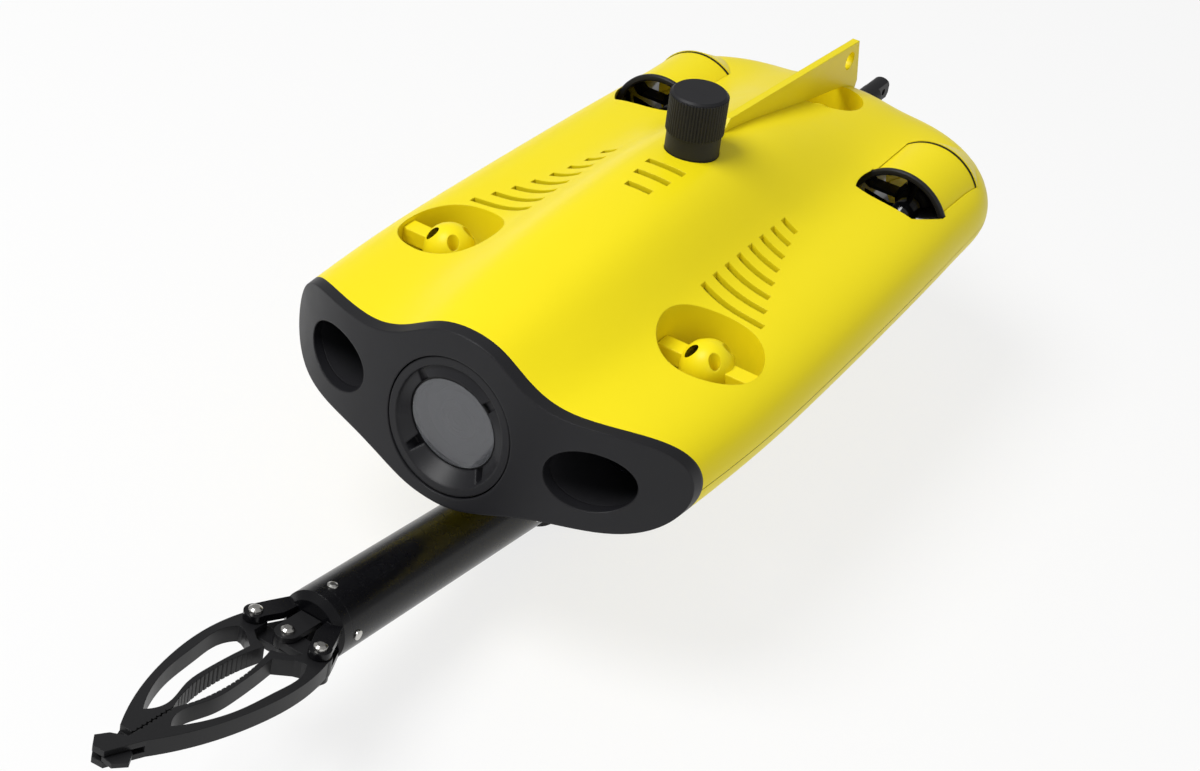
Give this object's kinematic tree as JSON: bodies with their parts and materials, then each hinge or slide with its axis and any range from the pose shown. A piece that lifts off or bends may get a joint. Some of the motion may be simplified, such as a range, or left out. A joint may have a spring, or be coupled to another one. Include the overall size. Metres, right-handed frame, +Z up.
{
  "type": "underwater inspection rov",
  "caption": "Compact underwater inspection vehicle with a float hull, five enclosed thrusters, a nose camera with two lights, and a gripper arm hung below.",
  "frame": {"origin": "centre of the footprint, level with the lowest point, under the middle of the vehicle and its arm", "axes": "+X forward along the hull and the arm, +Y to port, +Z up"},
  "size_m": [0.635, 0.227, 0.2014],
  "materials": {
    "hull_yellow": "satin moulded",
    "panel_black": "satin",
    "trim_black": "matt",
    "glass": "clear",
    "lens": "coated",
    "prop_black": "gloss",
    "motor_metal": "satin",
    "arm_black": "black anodised",
    "jaw_black": "black anodised",
    "steel": "bright",
    "seal_rubber": "matt",
    "pressure_metal": "anodised",
    "pack_wrap": "wrapped",
    "board": "solder mask",
    "light_board": "bare"
  },
  "bodies": {
    "vehicle": {"arm_cable_gland": "trim_black", "arm_motor_housing": "arm_black", "arm_mount": "trim_black", "arm_tube": "arm_black", "battery_pack": "pack_wrap", "camera_bezel": "panel_black", "camera_module": "trim_black", "camera_window": "glass", "control_board": "board", "duct_port": "hull_yellow", "duct_ring_port": "panel_black", "duct_ring_starboard": "panel_black", "duct_seal_port": "seal_rubber", "duct_seal_starboard": "seal_rubber", "duct_starboard": "hull_yellow", "duct_stator_port": "trim_black", "duct_stator_starboard": "trim_black", "front_panel": "panel_black", "gripper_head": "arm_black", "jaw_pivot_port": "steel", "jaw_pivot_starboard": "steel", "light_board_port": "light_board", "light_board_starboard": "light_board", "light_housing_port": "trim_black", "light_housing_starboard": "trim_black", "light_lens_port": "lens", "light_lens_starboard": "lens", "lower_shell": "hull_yellow", "motor_front_port": "motor_metal", "motor_front_starboard": "motor_metal", "motor_mount_front_port": "hull_yellow", "motor_mount_front_starboard": "hull_yellow", "motor_mount_rear": "hull_yellow", "motor_port": "motor_metal", "motor_rear": "motor_metal", "motor_starboard": "motor_metal", "mount_screws": "steel", "pressure_hull": "pressure_metal", "rear_port_socket": "trim_black", "tail_fin": "hull_yellow", "top_port_socket": "trim_black", "tube_screws": "steel", "upper_shell": "hull_yellow", "window_seal": "seal_rubber"},
    "rotor_front_port": {"propeller_front_port": "prop_black"},
    "rotor_front_starboard": {"propeller_front_starboard": "prop_black"},
    "rotor_rear": {"propeller_rear": "prop_black"},
    "rotor_port": {"propeller_port": "prop_black"},
    "rotor_starboard": {"propeller_starboard": "prop_black"},
    "top_cap": {"top_port_cap": "trim_black"},
    "rear_cap": {"rear_port_cap": "trim_black"},
    "port_jaw": {"jaw_port": "jaw_black"},
    "starboard_jaw": {"jaw_starboard": "jaw_black"},
    "rod": {"push_rod": "jaw_black", "rod_pin": "steel"}
  },
  "joints": [
    {"name": "front_port_spin", "type": "hinge", "parent": "vehicle", "child": "rotor_front_port", "pos_m": [0.00947, 0.073, 0.0998], "axis": [0, 0, 1], "continuous": true},
    {"name": "front_starboard_spin", "type": "hinge", "parent": "vehicle", "child": "rotor_front_starboard", "pos_m": [0.00947, -0.073, 0.0998], "axis": [0, 0, 1], "continuous": true},
    {"name": "rear_spin", "type": "hinge", "parent": "vehicle", "child": "rotor_rear", "pos_m": [-0.23053, 0, 0.0998], "axis": [0, 0, 1], "continuous": true},
    {"name": "port_spin", "type": "hinge", "parent": "vehicle", "child": "rotor_port", "pos_m": [-0.20453, 0.0738, 0.1153], "axis": [1, 0, 0], "continuous": true},
    {"name": "starboard_spin", "type": "hinge", "parent": "vehicle", "child": "rotor_starboard", "pos_m": [-0.20453, -0.0738, 0.1153], "axis": [1, 0, 0], "continuous": true},
    {"name": "top_cap_turn", "type": "hinge", "parent": "vehicle", "child": "top_cap", "pos_m": [-0.08583, 0, 0.1808], "axis": [0, 0, 1], "continuous": true},
    {"name": "rear_cap_turn", "type": "hinge", "parent": "vehicle", "child": "rear_cap", "pos_m": [-0.29253, 0, 0.1178], "axis": [1, 0, 0], "continuous": true},
    {"name": "port_jaw_open", "type": "hinge", "parent": "vehicle", "child": "port_jaw", "pos_m": [0.21279, 0.0175, 0.05721], "axis": [-0.163, 0, 0.9866], "range_deg": [0, 25]},
    {"name": "starboard_jaw_open", "type": "hinge", "parent": "vehicle", "child": "starboard_jaw", "pos_m": [0.21279, -0.0175, 0.05721], "axis": [-0.163, 0, 0.9866], "range_deg": [-25, 0]},
    {"name": "rod_push", "type": "slide", "parent": "vehicle", "child": "rod", "axis": [0.9866, 0, 0.163], "range_m": [0, 0.00817]}
  ],
  "couplings": [
    {"joint": "starboard_jaw_open", "follows": "port_jaw_open", "ratio": -1},
    {"joint": "rod_push", "follows": "port_jaw_open", "m_per_rad": 0.018702}
  ]
}
